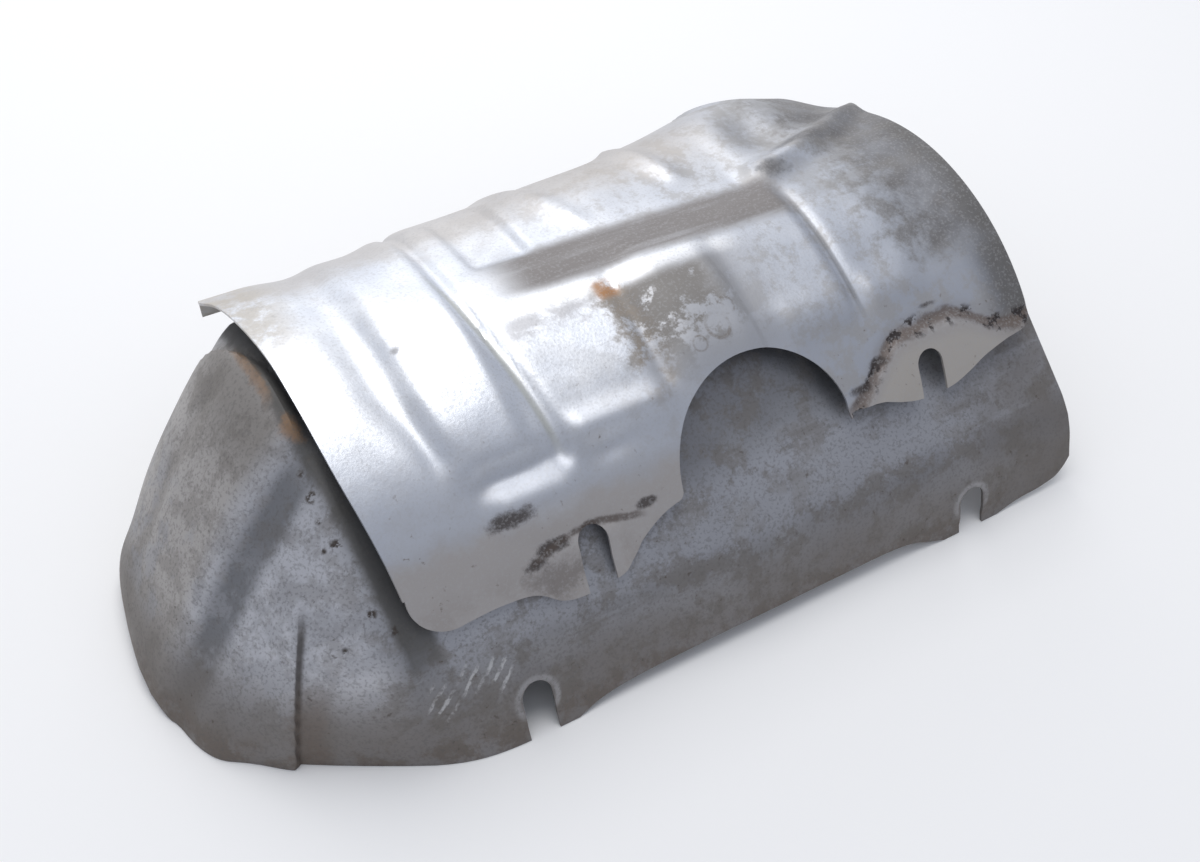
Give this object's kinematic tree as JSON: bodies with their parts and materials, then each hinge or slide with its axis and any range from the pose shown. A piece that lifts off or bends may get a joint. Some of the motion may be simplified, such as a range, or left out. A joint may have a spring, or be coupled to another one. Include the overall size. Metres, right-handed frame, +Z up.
{
  "type": "diesel particulate filter heat shield",
  "caption": "Pressed sheet-metal heat shield for a diesel particulate filter: a ribbed half shell resting over a longer domed half shell.",
  "frame": {"origin": "middle of the whole part's box in X and Y, on the plane the lower shell's rim stands on", "axes": "+Z up through the crown of both shells; X along the shells, from the closed domed end (-X) to the open end (+X); -Y toward the side with the half-round notch in the picture"},
  "size_m": [0.3714, 0.2292, 0.1119],
  "materials": {
    "upper_shell": "aluminised, stained",
    "lower_shell": "aluminised, dull and dirty"
  },
  "bodies": {
    "root": {"upper_shell": "upper_shell", "lower_shell": "lower_shell"}
  },
  "joints": []
}
